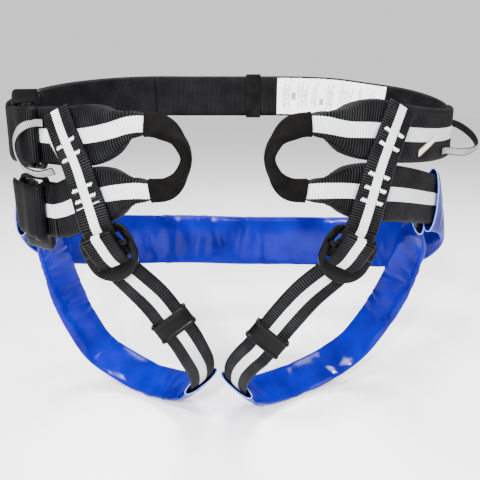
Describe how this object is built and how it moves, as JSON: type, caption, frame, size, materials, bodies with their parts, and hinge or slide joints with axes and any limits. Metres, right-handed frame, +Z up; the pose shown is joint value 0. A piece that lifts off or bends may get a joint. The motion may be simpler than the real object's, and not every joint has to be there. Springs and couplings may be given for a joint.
{
  "type": "climbing harness",
  "caption": "Sit harness with adjustable waist belt, sleeved seat and leg loops, folded webbing tie-in loops, leg buckles, hip adjusters and gear loops.",
  "frame": {"origin": "the tie-in point, midway between the two tie-in loops in front of the wearer", "axes": "+Z up along the wearer's spine, the wearer faces -Y, +X to the right as seen from the front"},
  "size_m": [0.4505, 0.2987, 0.3306],
  "materials": {
    "striped_webbing": "black ribbed webbing with a white centre stripe",
    "plain_webbing": "plain black webbing with fine cross ribs",
    "coated_sleeve": "glossy blue PVC-coated fabric",
    "loop_cover": "dark brown-black tubular webbing",
    "buckle_metal": "black coated steel with worn rims",
    "strap_keeper": "black moulded keeper",
    "elastic": "black woven elastic",
    "label": "white woven satin label",
    "gear_tape": "flat tape, white outside and dark ribbed inside"
  },
  "bodies": {
    "harness": {"waist_belt": "plain_webbing", "care_label": "label", "left_front_webbing": "striped_webbing", "right_front_webbing": "striped_webbing", "left_loop_cover": "loop_cover", "right_loop_cover": "loop_cover", "seat_webbing": "plain_webbing", "seat_sleeve": "coated_sleeve", "upper_hip_buckle_frame": "buckle_metal", "lower_hip_buckle_frame": "buckle_metal", "left_riser": "striped_webbing", "right_riser": "striped_webbing", "left_leg_webbing": "striped_webbing", "right_leg_webbing": "striped_webbing", "left_leg_tail": "striped_webbing", "right_leg_tail": "striped_webbing", "left_leg_sleeve": "coated_sleeve", "right_leg_sleeve": "coated_sleeve"},
    "waist_keeper": {"waist_keeper": "elastic"},
    "upper_hip_bar": {"upper_hip_buckle_bar": "buckle_metal"},
    "lower_hip_bar": {"lower_hip_buckle_bar": "buckle_metal"},
    "left_leg_buckle": {"left_leg_buckle_frame": "buckle_metal"},
    "left_leg_bar": {"left_leg_buckle_bar": "buckle_metal", "left_strap_wrap": "striped_webbing"},
    "left_leg_keeper": {"left_leg_keeper": "strap_keeper"},
    "left_gear_loop": {"left_gear_loop": "gear_tape"},
    "right_leg_buckle": {"right_leg_buckle_frame": "buckle_metal"},
    "right_leg_bar": {"right_leg_buckle_bar": "buckle_metal", "right_strap_wrap": "striped_webbing"},
    "right_leg_keeper": {"right_leg_keeper": "strap_keeper"},
    "right_gear_loop": {"right_gear_loop": "gear_tape"}
  },
  "joints": [
    {"name": "waist_keeper_slide", "type": "slide", "parent": "harness", "child": "waist_keeper", "axis": [1, 0, 0], "range_m": [-0.045, 0.018]},
    {"name": "left_leg_keeper_slide", "type": "slide", "parent": "harness", "child": "left_leg_keeper", "axis": [-0.5707, 0.0176, 0.821], "range_m": [-0.004, 0.014]},
    {"name": "right_leg_keeper_slide", "type": "slide", "parent": "harness", "child": "right_leg_keeper", "axis": [0.6113, 0.018, 0.7912], "range_m": [-0.004, 0.014]},
    {"name": "left_leg_buckle_tilt", "type": "hinge", "parent": "harness", "child": "left_leg_buckle", "pos_m": [-0.09742, 0.01541, -0.05799], "axis": [-0.8963, 0.1829, -0.4038], "range_deg": [0, 18]},
    {"name": "left_leg_bar_slide", "type": "slide", "parent": "left_leg_buckle", "child": "left_leg_bar", "axis": [-0.3957, 0.0807, 0.9148], "range_m": [0, 0.002]},
    {"name": "right_leg_buckle_tilt", "type": "hinge", "parent": "harness", "child": "right_leg_buckle", "pos_m": [0.09761, 0.01655, -0.06032], "axis": [-0.878, -0.1792, 0.4439], "range_deg": [0, 18]},
    {"name": "right_leg_bar_slide", "type": "slide", "parent": "right_leg_buckle", "child": "right_leg_bar", "axis": [0.4349, 0.0888, 0.8961], "range_m": [0, 0.002]},
    {"name": "upper_hip_bar_slide", "type": "slide", "parent": "harness", "child": "upper_hip_bar", "axis": [-0.8211, 0.5708, 0], "range_m": [0, 0.0025]},
    {"name": "lower_hip_bar_slide", "type": "slide", "parent": "harness", "child": "lower_hip_bar", "axis": [-0.8211, 0.5708, 0], "range_m": [0, 0.0025]},
    {"name": "right_gear_loop_swing", "type": "hinge", "parent": "harness", "child": "right_gear_loop", "pos_m": [0.2135, 0.204, 0.018], "axis": [-0.0971, -0.9535, -0.2855], "range_deg": [-20, 25], "stiffness_Nm_per_rad": 0.02},
    {"name": "left_gear_loop_swing", "type": "hinge", "parent": "harness", "child": "left_gear_loop", "pos_m": [-0.2005, 0.107, 0.018], "axis": [-0.6714, 0.6903, 0.2697], "range_deg": [0, 25], "stiffness_Nm_per_rad": 0.02}
  ]
}
